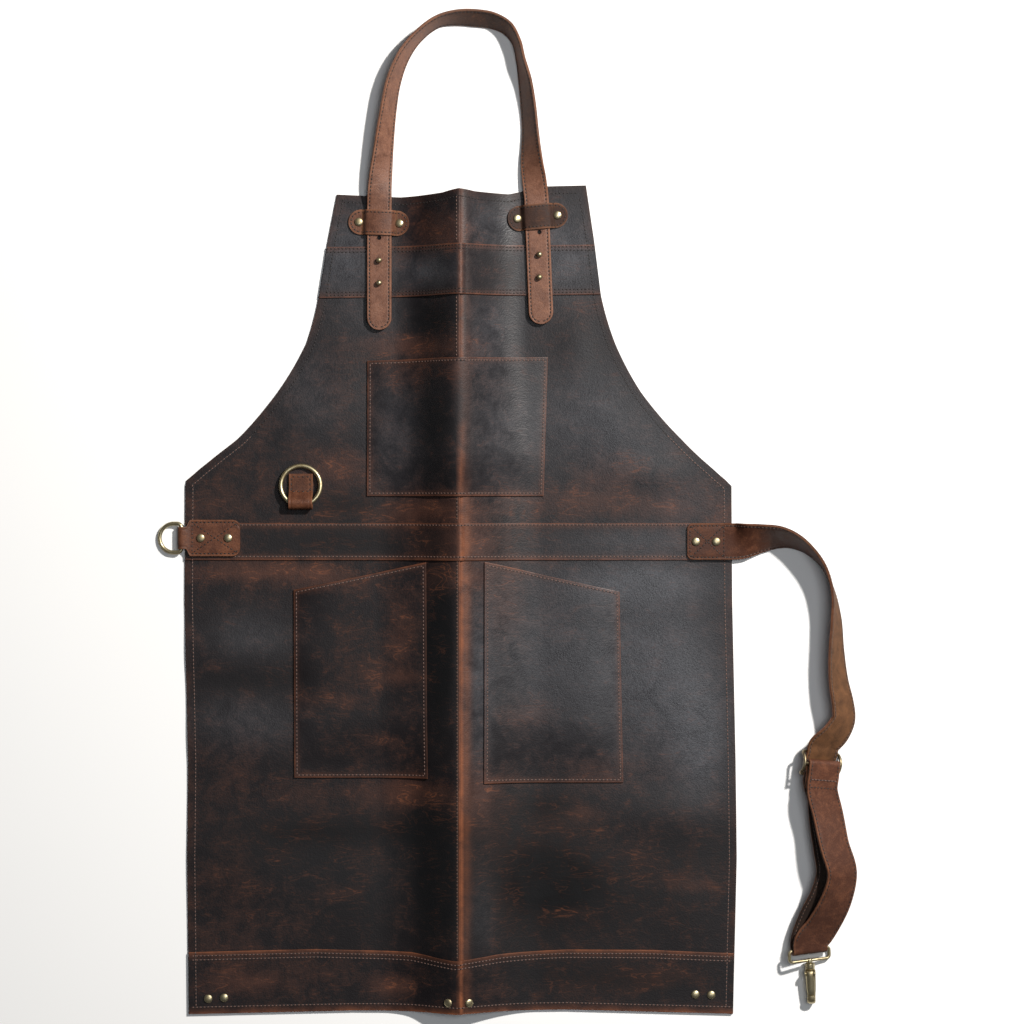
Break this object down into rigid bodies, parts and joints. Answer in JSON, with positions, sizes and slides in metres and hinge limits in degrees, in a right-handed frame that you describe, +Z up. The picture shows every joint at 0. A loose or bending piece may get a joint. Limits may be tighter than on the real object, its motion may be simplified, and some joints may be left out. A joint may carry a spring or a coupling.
{
  "type": "leather apron",
  "caption": "Dark brown waxed leather work apron with patch pockets, a studded neck strap, a towel ring and a waist strap that ends in a brass snap hook.",
  "frame": {"origin": "middle of the whole part in plan, on the floor it lies on", "axes": "+Z up out of the front of the apron, +Y from the hem towards the neck strap, +X towards the waist strap's side"},
  "size_m": [0.7254, 1.0422, 0.0474],
  "materials": {
    "body_leather": "waxed",
    "strap_leather": "waxed",
    "antique_brass": "antique",
    "dark_brass": "dark antique"
  },
  "bodies": {
    "apron": {"body_left": "body_leather", "body_right": "body_leather", "chest_band": "body_leather", "waist_band": "body_leather", "hem_band": "body_leather", "chest_pocket": "body_leather", "left_pocket": "body_leather", "right_pocket": "body_leather", "neck_strap": "strap_leather", "left_keeper": "strap_leather", "right_keeper": "strap_leather", "waist_strap": "strap_leather", "ring_tab": "strap_leather", "side_tab": "strap_leather", "left_stud_lower": "antique_brass", "left_stud_upper": "antique_brass", "right_stud_lower": "antique_brass", "right_stud_upper": "antique_brass", "left_keeper_rivet_a": "antique_brass", "left_keeper_rivet_b": "antique_brass", "right_keeper_rivet_a": "antique_brass", "right_keeper_rivet_b": "antique_brass", "side_tab_rivet_a": "antique_brass", "side_tab_rivet_b": "antique_brass", "strap_rivet_a": "antique_brass", "strap_rivet_b": "antique_brass", "hem_rivet_a": "antique_brass", "hem_rivet_b": "antique_brass", "hem_rivet_c": "antique_brass", "hem_rivet_d": "antique_brass", "hem_rivet_e": "antique_brass", "hem_rivet_f": "antique_brass", "slider": "dark_brass"},
    "towel_ring": {"towel_ring": "antique_brass"},
    "side_ring": {"side_ring": "antique_brass"},
    "hook_loop": {"hook_loop": "antique_brass"},
    "hook_body": {"hook_body": "antique_brass"},
    "hook_gate": {"hook_gate": "antique_brass"}
  },
  "joints": [
    {"name": "towel_ring_swing", "type": "hinge", "parent": "apron", "child": "towel_ring", "pos_m": [-0.21381, 0.01008, 0.009], "axis": [1, 0, 0], "range_deg": [0, 185]},
    {"name": "side_ring_swing", "type": "hinge", "parent": "apron", "child": "side_ring", "pos_m": [-0.33741, -0.02612, 0.0059], "axis": [0, 1, 0], "range_deg": [-75, 135]},
    {"name": "hook_loop_swing", "type": "hinge", "parent": "apron", "child": "hook_loop", "pos_m": [0.31349, -0.45212, 0.0113], "axis": [-0.9485, -0.0739, 0.3081], "range_deg": [-20, 70]},
    {"name": "hook_swivel", "type": "hinge", "parent": "hook_loop", "child": "hook_body", "pos_m": [0.3141, -0.46377, 0.01039], "axis": [0.0522, -0.9956, -0.0782], "continuous": true},
    {"name": "hook_gate_open", "type": "hinge", "parent": "hook_body", "child": "hook_gate", "pos_m": [0.3141, -0.47714, 0.0143], "axis": [0.9895, 0.041, 0.1387], "range_deg": [0, 14], "stiffness_Nm_per_rad": 0.02, "springref_deg": -5.73}
  ]
}
